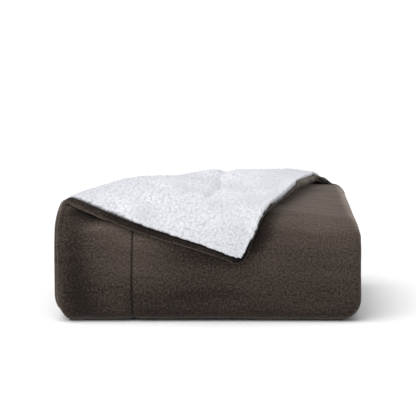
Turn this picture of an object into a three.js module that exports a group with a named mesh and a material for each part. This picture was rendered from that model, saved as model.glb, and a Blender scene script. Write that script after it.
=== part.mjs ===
// Throw blanket: a brown plush face sewn to a white curly-pile back. It is folded in three across its
// width, doubled, and turned over in three along its length. The free corner on top is turned back, so
// that the white side shows.
//
// Every point of the cloth is found from where it lies on the flat blanket: u across the width, v along
// the length, and a height above the middle of the cloth, positive towards the plush. The folds are
// applied one after the other: across the width, the turned corner, along the length, and at last the
// settling of the soft pile of layers.
import * as THREE from "three";

// Cloth, in millimetres.
const CLOTH_THICKNESS = 8;
const PLUSH_THICKNESS = 2;
const SEWN_GAP = 0.5; // between the two panels
const SEAM_GAP = 1; // and between the hem and the white pile beside it
const LAYER_PITCH = 9; // from one layer to the next, so layers lie 1 mm apart
const HEM_WIDTH = 5; // the plush that wraps round the edge and shows beside the white side
const HEM_ROUND = 2; // how far in the rounded edge starts
const CORNER_ROUND = 16; // rounding of the blanket's corners

// The three panels across the width. x is the place in the folded bundle.
const LEFT_FOLD_X = -208.5; // axis of the fold between the inner and the under panel
const RIGHT_FOLD_X = 204; // axis of the fold between the under and the outer panel
const INNER_EDGE_X = 195; // free edge of the inner panel
const OUTER_EDGE_X = -213; // free edge of the outer panel
const LEFT_FOLD_RADIUS = LAYER_PITCH / 2;
const RIGHT_FOLD_RADIUS = LAYER_PITCH; // it wraps the inner panel's edge

// The folds along the length. A strip is the three panels on each other.
const STRIP_PITCH = 3 * LAYER_PITCH;
const FRONT_Y = 81; // axis of the folds at the front
const TOP_RUN = 235;
const BOTTOM_RUN = 180;
const MIDDLE_RUN = 172;
const LAST_RUN = 225;
const FRONT_CLOTH_RADIUS = 76.5; // length of cloth for each radian of the outer front fold

// The turned corner, on the outer panel opened out flat: x as in the bundle, and w measured back from
// the start of the front fold, so that w below 0 hangs down the front.
const TURN_LEFT = { x: OUTER_EDGE_X, w: -34 };
const TURN_RIGHT = { x: RIGHT_FOLD_X, w: TOP_RUN };
const TURNED_TIP = { x: 50, w: -122 };
const TURN_REST = 11; // between the turned corner and the panel that it lies on, middle to middle
const TURN_SETTLE = 55; // how far past the roll the corner has settled
const RIGHT_SETTLE = 32; // and at the fold's right end
const TURN_SLACK = { left: 30, right: 70, from: 0.1, to: 0.4 }; // how far past it the cloth catches up
const TURN_EDGE_BOW = 15; // the end edge bows outwards by this
const TURN_LEAST_RADIUS = 5.5;
const CROWN_LEAN = 30; // how far the end edge leans to the right where it comes over the roll
const CROWN_GROWTH = 0.6; // exponent: most of that lean is low in the roll
const CROWN_REACH = 75; // how far past the roll it fades
const RIGHT_PART = { from: 0.62, full: 0.9 }; // part of the fold where it leans and settles sooner
// Radius of the soft roll at the turn, at parts of its length from left to right.
const TURN_ROLL = [
  { part: 0, radius: 5.5 },
  { part: 0.15, radius: 6 },
  { part: 0.38, radius: 12 },
  { part: 0.55, radius: 13.5 },
  { part: 0.8, radius: 12.5 },
  { part: 0.92, radius: 13.5 },
  { part: 1, radius: 12 },
];

// How the layers have settled.
const STACK_HEIGHT = 6 * STRIP_PITCH;
const FRONT_FLATNESS = 0.72; // depth of the front roll against a round one
const UPPER_FULLNESS = 2.2; // exponent of the front roll's outline above its middle: 2 is round
const LOWER_FULLNESS = 5; // and below it, where the weight squares it
// The settled pile at the panels' shared columns, from left to right: its height at the front, how far it
// bulges up behind that, and how far its back has sagged.
const PILE = [
  { height: 164, bulge: 11, backSag: 30 },
  { height: 166, bulge: 15, backSag: 16 },
  { height: 166, bulge: 5, backSag: 0 },
  { height: 166, bulge: 0, backSag: 0 },
  { height: 165.5, bulge: 0, backSag: 0 },
  { height: 157, bulge: 0, backSag: 0 },
];

const BULGE_Y = { from: 10, to: 130 }; // the depths between which that bulge rises
const BACK_SAG_Y = { from: 90, to: 280 };
// The two ends: they draw in at the foot and at the shoulder, by shares of half the length.
const LEFT_END = {
  fullest: 1, foot: 0.07, footHeight: 40, shoulder: 0.05, shoulderFrom: 130, shoulderTo: 200,
};
const RIGHT_END = {
  fullest: 1.005, foot: 0.065, footHeight: 35, shoulder: 0.055, shoulderFrom: 92, shoulderTo: 160,
};
const END_X = { from: 40, to: 200 }; // the distances from the middle over which that grows

// Steps of the surface's mesh.
const PANEL_STEPS = 5;
const FOLD_STEPS = 4;
const ROW_PITCH = 45; // the rows of all the straight runs lie above each other
const FINE_ROWS = 2; // those of the top and last runs that are halved, counted from the front
const LEAST_ROW = 1; // no row lies nearer than this to a run's end
const CORNER_STEPS = 15; // along the turned corner's fold
const FAN_END = TOP_RUN + 1.9 * FRONT_CLOTH_RADIUS; // rows beyond this lie straight across
const ROLL_ROWS = [4, 8, 12, 16, 20, 24, 32, 40]; // rows in the soft roll, out from the fold
const ROLL_REACH = 48; // and where they end
const CORNER_ROW = 20; // spacing in the rest of the turned corner
const LAST_CORNER_ROW = 0.92; // the last row before the tip, as a part of the corner's depth

/** A smooth step from 0 at a to 1 at b. */
function smooth(a, b, value) {
  return THREE.MathUtils.smoothstep((value - a) / (b - a), 0, 1);
}

/** The value between two rows of a table, smoothed at the rows. */
function fromTable(table, key, value, at) {
  const last = table.length - 2;
  let row = 0;
  while (row < last && at > table[row + 1][key]) row += 1;
  const [low, high] = [table[row], table[row + 1]];
  return low[value] + (high[value] - low[value]) * smooth(low[key], high[key], at);
}

/** Even steps from one value to another, without the last one. */
function steps(from, to, count) {
  return Array.from({ length: count }, (_, i) => from + ((to - from) * i) / count);
}

const COLUMN_X = steps(LEFT_FOLD_X, RIGHT_FOLD_X, PANEL_STEPS).slice(1); // shared by the panels

// Where each panel and fold begins on the flat cloth, counted from the inner panel's edge.
const LEFT_FOLD_U = INNER_EDGE_X - LEFT_FOLD_X;
const UNDER_U = LEFT_FOLD_U + Math.PI * LEFT_FOLD_RADIUS;
const RIGHT_FOLD_U = UNDER_U + RIGHT_FOLD_X - LEFT_FOLD_X;
const OUTER_U = RIGHT_FOLD_U + Math.PI * RIGHT_FOLD_RADIUS;
const CLOTH_WIDTH = OUTER_U + RIGHT_FOLD_X - OUTER_EDGE_X;

/** Folds the cloth across its width: the place x, and the level n above the strip's middle layer. */
function acrossWidth(u, height) {
  if (u <= LEFT_FOLD_U) return { x: INNER_EDGE_X - u, n: height };
  if (u <= UNDER_U) {
    const angle = (u - LEFT_FOLD_U) / LEFT_FOLD_RADIUS;
    const radius = LEFT_FOLD_RADIUS + height;
    return {
      x: LEFT_FOLD_X - radius * Math.sin(angle),
      n: -LEFT_FOLD_RADIUS + radius * Math.cos(angle),
    };
  }
  if (u <= RIGHT_FOLD_U) return { x: LEFT_FOLD_X + u - UNDER_U, n: -LAYER_PITCH - height };
  if (u <= OUTER_U) {
    const angle = (u - RIGHT_FOLD_U) / RIGHT_FOLD_RADIUS;
    const radius = RIGHT_FOLD_RADIUS + height;
    return { x: RIGHT_FOLD_X + radius * Math.sin(angle), n: -radius * Math.cos(angle) };
  }
  return { x: RIGHT_FOLD_X - (u - OUTER_U), n: LAYER_PITCH + height };
}

// The turned corner's own frame: along the fold from its left end, and out from it to the corner.
const turnX = TURN_RIGHT.x - TURN_LEFT.x;
const turnW = TURN_RIGHT.w - TURN_LEFT.w;
const TURN_LENGTH = Math.hypot(turnX, turnW);
const TURN_ALONG = { x: turnX / TURN_LENGTH, w: turnW / TURN_LENGTH };
const TURN_OUT = { x: -TURN_ALONG.w, w: TURN_ALONG.x };

/** A point of the opened outer panel in the fold's own frame. */
function inTurnFrame(point) {
  const [x, w] = [point.x - TURN_LEFT.x, point.w - TURN_LEFT.w];
  return {
    along: x * TURN_ALONG.x + w * TURN_ALONG.w,
    out: x * TURN_OUT.x + w * TURN_OUT.w,
  };
}

/** The radius of the soft roll at a place along the fold. */
function rollRadius(along) {
  return fromTable(TURN_ROLL, "part", "radius", along / TURN_LENGTH);
}

const FLAT_CORNER = inTurnFrame({ x: OUTER_EDGE_X, w: TOP_RUN });
const TIP = inTurnFrame(TURNED_TIP);
const CORNER_RADIUS = rollRadius(FLAT_CORNER.along);
const CORNER_FREE = FLAT_CORNER.out - Math.PI * CORNER_RADIUS; // what is left of it past the roll
const TURN_STRETCH = (-TIP.out - Math.PI * (CORNER_RADIUS - TURN_LEAST_RADIUS)) / CORNER_FREE;
const TURN_SHEAR = (TIP.along - FLAT_CORNER.along) / CORNER_FREE;

/** Turns the free corner of the outer panel over its fold, in a soft roll that settles flat. */
function turnedCorner(x, w, height) {
  const { along, out } = inTurnFrame({ x, w });
  if (out <= 0) return { x, w, n: LAYER_PITCH + height };
  const part = along / TURN_LENGTH;
  const rightPart = smooth(RIGHT_PART.from, RIGHT_PART.full, part);
  const radius = rollRadius(along);
  const past = Math.max(out - Math.PI * radius, 0);
  const risen = Math.sin(Math.min(out / radius, Math.PI) / 2) ** CROWN_GROWTH;
  const lean = CROWN_LEAN * rightPart * risen * (1 - smooth(0, CROWN_REACH, past));
  let [newAlong, newOut, n] = [along + lean, 0, 0];
  if (past === 0) {
    const angle = out / radius;
    newOut = (radius - height) * Math.sin(angle);
    n = LAYER_PITCH + radius - (radius - height) * Math.cos(angle);
  } else {
    const towardsRight = smooth(TURN_SLACK.from, TURN_SLACK.to, part);
    const caughtUp = TURN_SLACK.left + (TURN_SLACK.right - TURN_SLACK.left) * towardsRight;
    const slack = Math.PI * (radius - TURN_LEAST_RADIUS) * smooth(0, caughtUp, past);
    const reach = TURN_SETTLE + (RIGHT_SETTLE - TURN_SETTLE) * rightPart;
    const lifted = Math.exp(-(((TURN_STRETCH * past) / reach) ** 2));
    const side = THREE.MathUtils.clamp(
      (along - FLAT_CORNER.along) / (TURN_LENGTH - FLAT_CORNER.along), 0, 1);
    const bow = TURN_EDGE_BOW * side * Math.sin(Math.PI * Math.min(past / CORNER_FREE, 1));
    newAlong += TURN_SHEAR * past + bow;
    newOut = -TURN_STRETCH * past - slack;
    n = LAYER_PITCH + TURN_REST + (2 * radius - TURN_REST) * lifted - height;
  }
  return {
    x: TURN_LEFT.x + newAlong * TURN_ALONG.x + newOut * TURN_OUT.x,
    w: TURN_LEFT.w + newAlong * TURN_ALONG.w + newOut * TURN_OUT.w,
    n,
  };
}

// The strip's path seen from its end: straight runs, each with the bend that follows it. turn is 1 where
// the outer panel is on the outside of the bend and -1 where it is on the inside.
const PATH = [
  { run: TOP_RUN, fine: true, radius: 2.5 * STRIP_PITCH, turn: 1, bendSteps: 12, cloth: FRONT_CLOTH_RADIUS },
  { run: BOTTOM_RUN, fine: false, radius: 1.5 * STRIP_PITCH, turn: 1, bendSteps: 8 },
  { run: MIDDLE_RUN, fine: false, radius: 0.5 * STRIP_PITCH, turn: 1, bendSteps: 4 },
  { run: MIDDLE_RUN, fine: false, radius: 0.5 * STRIP_PITCH, turn: -1, bendSteps: 6 },
  { run: BOTTOM_RUN, fine: false, radius: 1.5 * STRIP_PITCH, turn: -1, bendSteps: 12 },
  { run: LAST_RUN, fine: true, radius: 0, turn: 0, bendSteps: 0 },
];

/** The path's pieces, each with its first place on the cloth, its point, its heading and its length. */
function pathPieces() {
  const pieces = [];
  let [v, y, z, heading] = [0, FRONT_Y + TOP_RUN, 5.5 * STRIP_PITCH, Math.PI];
  for (const row of PATH) {
    pieces.push({ v, y, z, heading, length: row.run, radius: 0, turn: 0, fine: row.fine });
    v += row.run;
    y += Math.cos(heading) * row.run;
    if (row.turn === 0) continue;
    const length = Math.PI * (row.cloth ?? row.radius);
    pieces.push({ v, y, z, heading, length, radius: row.radius, turn: row.turn, steps: row.bendSteps });
    v += length;
    z += 2 * row.radius * Math.cos(heading) * row.turn;
    heading += Math.PI * row.turn;
  }
  return pieces;
}

const PIECES = pathPieces();
const LAST_PIECE = PIECES[PIECES.length - 1];
const CLOTH_LENGTH = LAST_PIECE.v + LAST_PIECE.length;

/** Folds the strip along its length: the depth y and the height z of a point at level n. */
function alongLength(v, n) {
  const piece = PIECES.find((p) => v <= p.v + p.length) ?? LAST_PIECE;
  const along = v - piece.v;
  if (piece.turn === 0) {
    return {
      y: piece.y + Math.cos(piece.heading) * along,
      z: piece.z - Math.cos(piece.heading) * n,
    };
  }
  const facing = piece.heading + (Math.PI * along * piece.turn) / piece.length;
  const axisZ = piece.z + Math.cos(piece.heading) * piece.radius * piece.turn;
  const reach = piece.turn * (piece.radius + n * piece.turn);
  return { y: piece.y + reach * Math.sin(facing), z: axisZ - reach * Math.cos(facing) };
}

/** The settled height of the whole pile of layers over a place on the floor. */
function pileHeight(x, y) {
  const column = (PANEL_STEPS * (x - LEFT_FOLD_X)) / (RIGHT_FOLD_X - LEFT_FOLD_X);
  const row = THREE.MathUtils.clamp(Math.floor(column), 0, PANEL_STEPS - 1);
  const share = THREE.MathUtils.clamp(column - row, 0, 1);
  const value = (key) => PILE[row][key] + (PILE[row + 1][key] - PILE[row][key]) * share;
  return (
    value("height") +
    value("bulge") * smooth(BULGE_Y.from, BULGE_Y.to, y) -
    value("backSag") * smooth(BACK_SAG_Y.from, BACK_SAG_Y.to, y)
  );
}

/** How far an end reaches at a height, as a share of its greatest reach. */
function endReach(end, z) {
  const foot = end.foot * Math.max(1 - z / end.footHeight, 0) ** 2;
  return end.fullest - foot - end.shoulder * smooth(end.shoulderFrom, end.shoulderTo, z);
}

/** Settles a point of the neat fold as the soft layers lie: a flattened front, sagged and drawn-in ends. */
function settled(x, y, z) {
  const middle = STACK_HEIGHT / 2;
  const ahead = FRONT_Y - y;
  if (ahead > 0) {
    const angle = Math.atan2(ahead, z - middle);
    const power = angle > Math.PI / 2 ? LOWER_FULLNESS : UPPER_FULLNESS;
    const full = (Math.sin(angle) ** power + Math.abs(Math.cos(angle)) ** power) ** (-1 / power);
    y = FRONT_Y - ahead * full * FRONT_FLATNESS;
    z = middle + (z - middle) * full;
  }
  z *= pileHeight(x, y) / STACK_HEIGHT;
  const reach = endReach(x < 0 ? LEFT_END : RIGHT_END, z);
  x *= 1 + (reach - 1) * smooth(END_X.from, END_X.to, Math.abs(x));
  return new THREE.Vector3(x, y, z);
}

/** Rounds the blanket's four corners: a point in a corner's square moves onto its quarter disc. */
function withRoundCorners(u, v) {
  const [nearU, nearV] = [Math.min(u, CLOTH_WIDTH - u), Math.min(v, CLOTH_LENGTH - v)];
  const [a, b] = [Math.max(CORNER_ROUND - nearU, 0), Math.max(CORNER_ROUND - nearV, 0)];
  if (a === 0 || b === 0) return [u, v];
  const share = 1 - Math.max(a, b) / Math.hypot(a, b);
  return [
    u + a * share * Math.sign(CLOTH_WIDTH / 2 - u),
    v + b * share * Math.sign(CLOTH_LENGTH / 2 - v),
  ];
}

/** The place of a point of the blanket in the folded bundle. */
function clothPoint(flatU, flatV, height) {
  const [u, v] = withRoundCorners(flatU, flatV);
  let { x, n } = acrossWidth(u, height);
  let along = v;
  if (u > OUTER_U && v < FAN_END) {
    const turned = turnedCorner(x, TOP_RUN - v, height);
    ({ x, n } = turned);
    along = TOP_RUN - turned.w;
  }
  const { y, z } = alongLength(along, n);
  return settled(x, y, z);
}

/** The places across the cloth where its mesh has a column, up to the outer panel, each with the way
 * that x goes there. */
function columnPlaces() {
  const inner = [0, ...COLUMN_X.map((x) => INNER_EDGE_X - x).reverse()];
  const under = [UNDER_U, ...COLUMN_X.map((x) => UNDER_U + x - LEFT_FOLD_X)];
  return [
    ...inner.map((u) => ({ u, way: -1 })),
    ...steps(LEFT_FOLD_U, UNDER_U, FOLD_STEPS).map((u) => ({ u, way: 1 })),
    ...under.map((u) => ({ u, way: 1 })),
    ...steps(RIGHT_FOLD_U, OUTER_U, FOLD_STEPS).map((u) => ({ u, way: 1 })),
  ];
}

/** The parts of the way across the outer panel where its mesh has a column. */
function outerPlaces(fanned) {
  const width = RIGHT_FOLD_X - OUTER_EDGE_X;
  const shared = [0, ...COLUMN_X.map((x) => (RIGHT_FOLD_X - x) / width).reverse(), 1];
  return fanned ? shared.flatMap((s, i) => (i === 0 ? [s] : [(shared[i - 1] + s) / 2, s])) : shared;
}

/** Where the mesh has a row along a piece of the path, counted from the piece's start. */
function rowPlaces(piece) {
  if (piece.turn !== 0) return steps(0, piece.length, piece.steps);
  const fromFront = steps(0, BOTTOM_RUN + ROW_PITCH, BOTTOM_RUN / ROW_PITCH + 1);
  if (piece.fine) fromFront.push(...steps(ROW_PITCH / 2, (FINE_ROWS + 0.5) * ROW_PITCH, FINE_ROWS));
  const inside = fromFront
    .map((distance) => (FRONT_Y + distance - piece.y) * Math.cos(piece.heading))
    .filter((place) => place > LEAST_ROW && place < piece.length - LEAST_ROW);
  return [0, ...inside.sort((a, b) => a - b)];
}

/** The rows of the mesh on the flat cloth, from the turned corner's tip to the far end. A point has its
 * place u, v; its part s of the way across the outer panel, below 0 before it; and, where it is on the
 * blanket's edge, the way inwards for each millimetre from that edge. */
function clothRows() {
  const rows = [];
  const outerWidth = CLOTH_WIDTH - OUTER_U;
  const foldAtEdge = TOP_RUN - TURN_LEFT.w; // where the fold of the corner meets the long edge
  const depth = FLAT_CORNER.out;
  const rollRows = ROLL_ROWS.map((out) => out / depth);
  const restRows = Math.round((LAST_CORNER_ROW * depth - ROLL_REACH) / CORNER_ROW);
  const flatRows = steps(ROLL_REACH / depth, LAST_CORNER_ROW, restRows);
  for (const part of [...rollRows, ...flatRows, LAST_CORNER_ROW].reverse()) {
    const count = Math.max(Math.round(CORNER_STEPS * (1 - part)), 1);
    const row = steps(0, 1 + 1 / count, count + 1).map((s) => ({
      u: OUTER_U + outerWidth * (part + (1 - part) * s),
      v: foldAtEdge * (1 - part) * s,
      s,
    }));
    row[0].inwards = { u: outerWidth / foldAtEdge, v: 1 };
    row[count].inwards = { u: -1, v: -foldAtEdge / outerWidth };
    rows.push(row);
  }
  rows.unshift([{ u: CLOTH_WIDTH, v: 0, s: 0, inwards: { u: -1, v: 1 } }]);
  const places = columnPlaces();
  for (const piece of PIECES) {
    const rowWay = Math.cos(piece.heading) * (piece.turn || 1); // towards the back, or up
    const rowsHere = rowPlaces(piece);
    if (piece === LAST_PIECE) rowsHere.push(piece.length);
    for (const place of rowsHere) {
      const v = piece.v + place;
      const fanned = v < FAN_END;
      const lean = fanned ? foldAtEdge * (1 - v / FAN_END) : 0;
      const row = [
        ...places.map(({ u, way }, i) => ({ u, v, s: i - places.length, mirrored: way * rowWay < 0 })),
        ...outerPlaces(fanned).map((s) => ({
          u: OUTER_U + outerWidth * s,
          v: v + lean * s,
          s,
          mirrored: !fanned && rowWay > 0,
        })),
      ];
      row[0].inwards = { u: 1, v: 0 };
      row[row.length - 1].inwards = { u: -1, v: -lean / outerWidth };
      if (v === 0) {
        for (const point of row.slice(0, places.length + 1)) {
          point.inwards = { u: point.inwards?.u ?? 0, v: 1 };
        }
      } else if (v === CLOTH_LENGTH) {
        for (const point of row) point.inwards = { u: point.inwards?.u ?? 0, v: -1 };
      }
      rows.push(row);
    }
  }
  return rows;
}

/** Joins two rows with triangles, always stepping on along the row that is behind. Cells are cut along
 * the same diagonal in all the layers, seen from above, so that no layer cuts the next. */
function stitchRows(upper, lower, triangles) {
  let [i, j] = [0, 0];
  while (i < upper.length - 1 || j < lower.length - 1) {
    const upperNext = i < upper.length - 1 ? upper[i + 1].s : Infinity;
    const lowerNext = j < lower.length - 1 ? lower[j + 1].s : Infinity;
    if (upperNext === lowerNext && upper[i].mirrored) {
      triangles.push([upper[i].index, lower[j].index, lower[j + 1].index]);
      triangles.push([upper[i].index, lower[j + 1].index, upper[i + 1].index]);
      i += 1;
      j += 1;
    } else if (upperNext <= lowerNext) {
      triangles.push([upper[i].index, lower[j].index, upper[i + 1].index]);
      i += 1;
    } else {
      triangles.push([upper[i].index, lower[j].index, lower[j + 1].index]);
      j += 1;
    }
  }
}

/** The flat cloth's mesh: its points, its triangles, and the edges that only one triangle has. */
function flatMesh() {
  const rows = clothRows();
  const points = rows.flat();
  points.forEach((point, index) => Object.assign(point, { index }));
  const triangles = [];
  for (let r = 0; r + 1 < rows.length; r += 1) {
    const lower = rows[r + 1];
    const cornerRow = rows[r][0].s >= 0;
    const startsAcross = cornerRow && lower[0].s < 0;
    stitchRows(rows[r], startsAcross ? lower.filter((p) => p.s >= 0) : lower, triangles);
  }
  const seen = new Map();
  for (const [a, b, c] of triangles) {
    for (const [from, to] of [[a, b], [b, c], [c, a]]) {
      const back = `${to},${from}`;
      if (seen.has(back)) seen.delete(back);
      else seen.set(`${from},${to}`, [from, to]);
    }
  }
  return { points, triangles, edges: [...seen.values()] };
}

const FLAT = flatMesh();

/** One face of a panel: every point of the mesh at a height, with the edge's own points drawn in. */
function faceOfCloth(height, inset) {
  return FLAT.points.map(({ u, v, inwards }) =>
    inwards
      ? clothPoint(u + inwards.u * inset, v + inwards.v * inset, height)
      : clothPoint(u, v, height));
}

/** A closed panel. rings goes from the upper face's edge round to the lower face's edge, each ring with
 * its height and how far in from the blanket's edge it lies. */
function panel(name, material, rings) {
  const upper = faceOfCloth(rings[0].height, rings[0].inset);
  const lower = faceOfCloth(rings[rings.length - 1].height, rings[rings.length - 1].inset);
  const between = rings.slice(1, -1).map((ring) => faceOfCloth(ring.height, ring.inset));
  const layers = [upper, ...between, lower];
  const corners = [];
  for (const [a, b, c] of FLAT.triangles) {
    corners.push(upper[a], upper[c], upper[b], lower[a], lower[b], lower[c]);
  }
  for (const [from, to] of FLAT.edges) {
    for (let k = 0; k + 1 < layers.length; k += 1) {
      const [outer, inner] = [layers[k], layers[k + 1]];
      corners.push(outer[from], outer[to], inner[to], outer[from], inner[to], inner[from]);
    }
  }
  const geometry = new THREE.BufferGeometry().setFromPoints(corners);
  geometry.computeVertexNormals();
  const mesh = new THREE.Mesh(geometry, material);
  mesh.name = name;
  return mesh;
}

const TOP = CLOTH_THICKNESS / 2;
const PLUSH_BACK = TOP - PLUSH_THICKNESS;

/** The plush face, with its hem turned round the edge to the white side. */
function plushFace() {
  const material = new THREE.MeshStandardMaterial({ color: 0x4f443d, roughness: 0.95, metalness: 0 });
  return panel("plush_face", material, [
    { height: TOP, inset: HEM_ROUND },
    { height: 0, inset: 0 },
    { height: -TOP, inset: HEM_ROUND },
    { height: -TOP, inset: HEM_WIDTH },
    { height: PLUSH_BACK, inset: HEM_WIDTH },
  ]);
}

/** The white curly-pile back, sewn in between the hems. */
function sherpaBack() {
  const material = new THREE.MeshStandardMaterial({ color: 0xe6e7ec, roughness: 1, metalness: 0 });
  return panel("sherpa_back", material, [
    { height: PLUSH_BACK - SEWN_GAP, inset: HEM_WIDTH + SEAM_GAP },
    { height: -TOP, inset: HEM_WIDTH + SEAM_GAP },
  ]);
}

const blanket = new THREE.Group();
blanket.add(plushFace(), sherpaBack());

// The origin is at the middle of the bundle's footprint, on the floor.
const bounds = new THREE.Box3().setFromObject(blanket);
const centre = bounds.getCenter(new THREE.Vector3());
blanket.position.set(-centre.x, -centre.y, -bounds.min.z);

export default blanket;
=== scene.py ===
"""Folded throw blanket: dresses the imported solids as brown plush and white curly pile, in a plain studio."""
import logging
import math
from dataclasses import dataclass, field
from enum import Enum

import bpy
import numpy as np
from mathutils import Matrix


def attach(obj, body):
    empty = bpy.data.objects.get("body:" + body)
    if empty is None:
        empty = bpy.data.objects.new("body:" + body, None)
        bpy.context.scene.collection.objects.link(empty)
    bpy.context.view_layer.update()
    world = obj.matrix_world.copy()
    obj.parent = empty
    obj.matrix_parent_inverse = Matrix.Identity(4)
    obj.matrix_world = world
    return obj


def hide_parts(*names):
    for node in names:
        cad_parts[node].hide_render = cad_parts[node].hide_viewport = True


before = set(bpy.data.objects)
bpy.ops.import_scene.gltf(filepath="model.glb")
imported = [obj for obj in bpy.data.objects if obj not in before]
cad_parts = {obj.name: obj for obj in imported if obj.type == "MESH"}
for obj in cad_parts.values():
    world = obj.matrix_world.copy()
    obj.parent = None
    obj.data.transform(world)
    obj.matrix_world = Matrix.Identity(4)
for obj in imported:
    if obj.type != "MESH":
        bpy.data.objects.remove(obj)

LOG = logging.getLogger("throw_blanket")
MM = 0.001
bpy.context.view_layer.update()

Array = np.ndarray
Stops = tuple[tuple[float, str], ...]


# Arithmetic on whole arrays


def smooth(low: float, high: float, value: Array) -> Array:
    """Smooth step: 0 below low, 1 above high, and 3t^2 - 2t^3 between, with t the share of the way."""
    share = np.clip((value - low) / (high - low), 0.0, 1.0)
    return share * share * (3.0 - 2.0 * share)


def between(edges: tuple[float, float, float, float], value: Array) -> Array:
    """1 between the inner two of four edges and 0 outside the outer two, with smooth steps."""
    return smooth(edges[0], edges[1], value) * (1 - smooth(edges[2], edges[3], value))


def eased(at: Array, places: tuple[float, ...], values: tuple[float, ...]) -> Array:
    """Reads a table, easing from each row to the next with a smooth step.

    Args:
        at: where to read it.
        places: the rows' places, rising.
        values: the rows' values.

    Returns:
        The values at those places.
    """
    rows, column = np.array(places, float), np.array(values, float)
    low = np.clip(np.searchsorted(rows, at, side="right") - 1, 0, len(rows) - 2)
    share = np.clip((at - rows[low]) / (rows[low + 1] - rows[low]), 0.0, 1.0)
    return column[low] + (column[low + 1] - column[low]) * share * share * (3.0 - 2.0 * share)


def flowing(at: Array, places: tuple[float, ...], values: tuple[float, ...]) -> Array:
    """Reads a table along a smooth curve through its rows.

    Between two rows it is the cubic that has their values, and at each row the slope from the row before
    to the row after, level at both ends.

    Args:
        at: where to read it.
        places: the rows' places, rising.
        values: the rows' values.

    Returns:
        The values at those places.
    """
    rows, column = np.array(places, float), np.array(values, float)
    slope = np.zeros_like(column)
    slope[1:-1] = (column[2:] - column[:-2]) / (rows[2:] - rows[:-2])
    low = np.clip(np.searchsorted(rows, at, side="right") - 1, 0, len(rows) - 2)
    gap = rows[low + 1] - rows[low]
    t = np.clip((at - rows[low]) / gap, 0.0, 1.0)
    return (
        column[low] * (1 + 2 * t) * (1 - t) ** 2
        + slope[low] * gap * t * (1 - t) ** 2
        + column[low + 1] * t * t * (3 - 2 * t)
        + slope[low + 1] * gap * t * t * (t - 1)
    )


def unevenness(across: Array, along: Array, seed: int) -> Array:
    """Soft noise from -1 to 1: a random value at each whole number, with smooth steps between.

    Args:
        across: first coordinate, in wavelengths.
        along: second coordinate, in wavelengths.
        seed: picks the random values.

    Returns:
        The noise at each point.
    """
    values = np.random.default_rng(seed).uniform(-1.0, 1.0, (257, 257))
    column, row = np.floor(across).astype(int), np.floor(along).astype(int)
    s, t = across - column, along - row
    s, t = s * s * (3 - 2 * s), t * t * (3 - 2 * t)
    column, row = column % 256, row % 256
    near = values[column, row] * (1 - s) + values[column + 1, row] * s
    far = values[column, row + 1] * (1 - s) + values[column + 1, row + 1] * s
    return near * (1 - t) + far * t


def nubs(across: Array, along: Array, seed: int) -> Array:
    """Round lumps packed side by side, one in each unit cell at a random place and of a random size.

    Each lump is 1 - (distance / size)^2, and the highest one counts, so creases part the lumps.

    Args:
        across: first coordinate, in lumps.
        along: second coordinate, in lumps.
        seed: picks the random places and sizes.

    Returns:
        The height from 0, in the deepest creases, to 1.
    """
    random = np.random.default_rng(seed)
    shift = random.uniform(0.12, 0.88, (2, 256, 256))
    size = random.uniform(0.72, 1.05, (256, 256))
    column, row = np.floor(across).astype(int), np.floor(along).astype(int)
    height = np.zeros(np.shape(across))
    for aside in (-1, 0, 1):
        for ahead in (-1, 0, 1):
            cell = ((column + aside) % 256, (row + ahead) % 256)
            gone = across - (column + aside) - shift[0][cell]
            left = along - (row + ahead) - shift[1][cell]
            height = np.maximum(height, 1.0 - (gone * gone + left * left) / size[cell] ** 2)
    return height


# The way the cloth is folded, in millimetres


@dataclass(frozen=True)
class AcrossFold:
    """The blanket folded in three across its width: inner, under and outer panel."""

    pitch: float = 9.0
    left_fold_x: float = -208.5
    right_fold_x: float = 204.0
    inner_edge_x: float = 195.0
    outer_edge_x: float = -213.0
    left_radius: float = 4.5
    right_radius: float = 9.0

    @property
    def left_fold_u(self) -> float:
        """Where the left fold begins on the flat cloth."""
        return self.inner_edge_x - self.left_fold_x

    @property
    def under_u(self) -> float:
        """Where the under panel begins."""
        return self.left_fold_u + math.pi * self.left_radius

    @property
    def right_fold_u(self) -> float:
        """Where the right fold begins."""
        return self.under_u + self.right_fold_x - self.left_fold_x

    @property
    def outer_u(self) -> float:
        """Where the outer panel begins."""
        return self.right_fold_u + math.pi * self.right_radius

    @property
    def width(self) -> float:
        """The blanket's flat width."""
        return self.outer_u + self.right_fold_x - self.outer_edge_x

    def fold(self, u: Array, height: Array) -> tuple[Array, Array]:
        """Folds the cloth: straight runs stepped by the pitch, joined by half circles at both folds.

        Args:
            u: place across the flat cloth.
            height: height above the middle of the cloth, positive towards the plush.

        Returns:
            The place x in the bundle and the level above the inner panel.
        """
        left = np.clip((u - self.left_fold_u) / self.left_radius, 0.0, math.pi)
        right = np.clip((u - self.right_fold_u) / self.right_radius, 0.0, math.pi)
        zones = [u <= self.left_fold_u, u <= self.under_u, u <= self.right_fold_u, u <= self.outer_u]
        x = np.select(
            zones,
            [
                self.inner_edge_x - u,
                self.left_fold_x - (self.left_radius + height) * np.sin(left),
                self.left_fold_x + u - self.under_u,
                self.right_fold_x + (self.right_radius + height) * np.sin(right),
            ],
            self.right_fold_x - (u - self.outer_u),
        )
        level = np.select(
            zones,
            [
                height + 0.0 * u,
                (self.left_radius + height) * np.cos(left) - self.left_radius,
                -self.pitch - height + 0.0 * u,
                -(self.right_radius + height) * np.cos(right),
            ],
            self.pitch + height,
        )
        return x, level


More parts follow.
